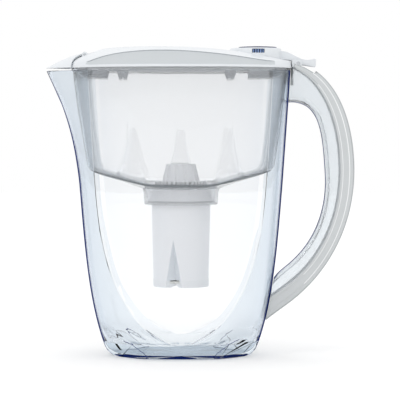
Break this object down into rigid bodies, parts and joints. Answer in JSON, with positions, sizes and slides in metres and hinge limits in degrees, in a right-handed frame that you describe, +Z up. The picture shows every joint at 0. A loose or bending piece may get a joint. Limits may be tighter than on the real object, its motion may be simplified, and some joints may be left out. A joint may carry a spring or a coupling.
{
  "type": "water filter pitcher",
  "caption": "Clear oval water filter pitcher with pouring spout, hinged flip lid with thumb lever, use counter dial, hopper and lift-out filter cartridge.",
  "frame": {"origin": "centre of the flat foot that the jug stands on, under the axis of the filter cartridge", "axes": "+Z up; spout towards -X; handle towards +X; +Y across the jug"},
  "size_m": [0.2629, 0.114, 0.2626],
  "materials": {
    "clear_plastic": "clear moulded plastic with a light blue tint",
    "hopper_plastic": "milky translucent plastic",
    "lid_plastic": "pale grey-white plastic",
    "grip_plastic": "satin grey plastic",
    "cartridge_plastic": "white plastic",
    "seal_rubber": "grey silicone",
    "felt": "white fibre mat",
    "granules": "black carbon granules",
    "steel": "pin wire",
    "navy_plastic": "navy plastic",
    "dial_plastic": "white printed disc",
    "window_plastic": "clear dome"
  },
  "bodies": {
    "jug": {"jug": "clear_plastic", "handle_channel": "clear_plastic", "handle_cover": "grip_plastic"},
    "hopper": {"hopper": "hopper_plastic"},
    "cartridge": {"cartridge_seal": "seal_rubber", "cartridge_body": "cartridge_plastic", "cartridge_flange": "cartridge_plastic", "cartridge_basket": "cartridge_plastic", "cartridge_knob": "cartridge_plastic", "cartridge_base": "cartridge_plastic", "top_felt": "felt", "bottom_felt": "felt", "filter_media": "granules"},
    "lid": {"lid_frame": "lid_plastic", "lid_tongue": "lid_plastic", "hinge_ears": "lid_plastic", "hinge_pin": "steel", "flap_pin": "steel"},
    "spout_flap": {"spout_flap": "lid_plastic"},
    "flip_lid": {"flip_lid": "lid_plastic", "counter_base": "navy_plastic", "counter_spindle": "steel", "counter_pawl": "dial_plastic", "counter_window": "window_plastic"},
    "counter_dial": {"counter_dial": "dial_plastic"}
  },
  "joints": [
    {"name": "hopper_lift", "type": "slide", "parent": "jug", "child": "hopper", "axis": [0, 0, 1], "range_m": [0, 0.2]},
    {"name": "cartridge_pull", "type": "slide", "parent": "hopper", "child": "cartridge", "axis": [0, 0, 1], "range_m": [0, 0.06]},
    {"name": "lid_lift", "type": "slide", "parent": "hopper", "child": "lid", "axis": [0, 0, 1], "range_m": [0, 0.1]},
    {"name": "flip_lid_hinge", "type": "hinge", "parent": "lid", "child": "flip_lid", "pos_m": [0.0992, 0, 0.2477], "axis": [0, 1, 0], "range_deg": [0, 60]},
    {"name": "spout_flap_hinge", "type": "hinge", "parent": "lid", "child": "spout_flap", "pos_m": [-0.0805, 0, 0.25468], "axis": [0, 1, 0], "range_deg": [0, 70]},
    {"name": "counter_turn", "type": "hinge", "parent": "flip_lid", "child": "counter_dial", "pos_m": [0.065, 0, 0.259], "axis": [0, 0, 1], "continuous": true}
  ]
}
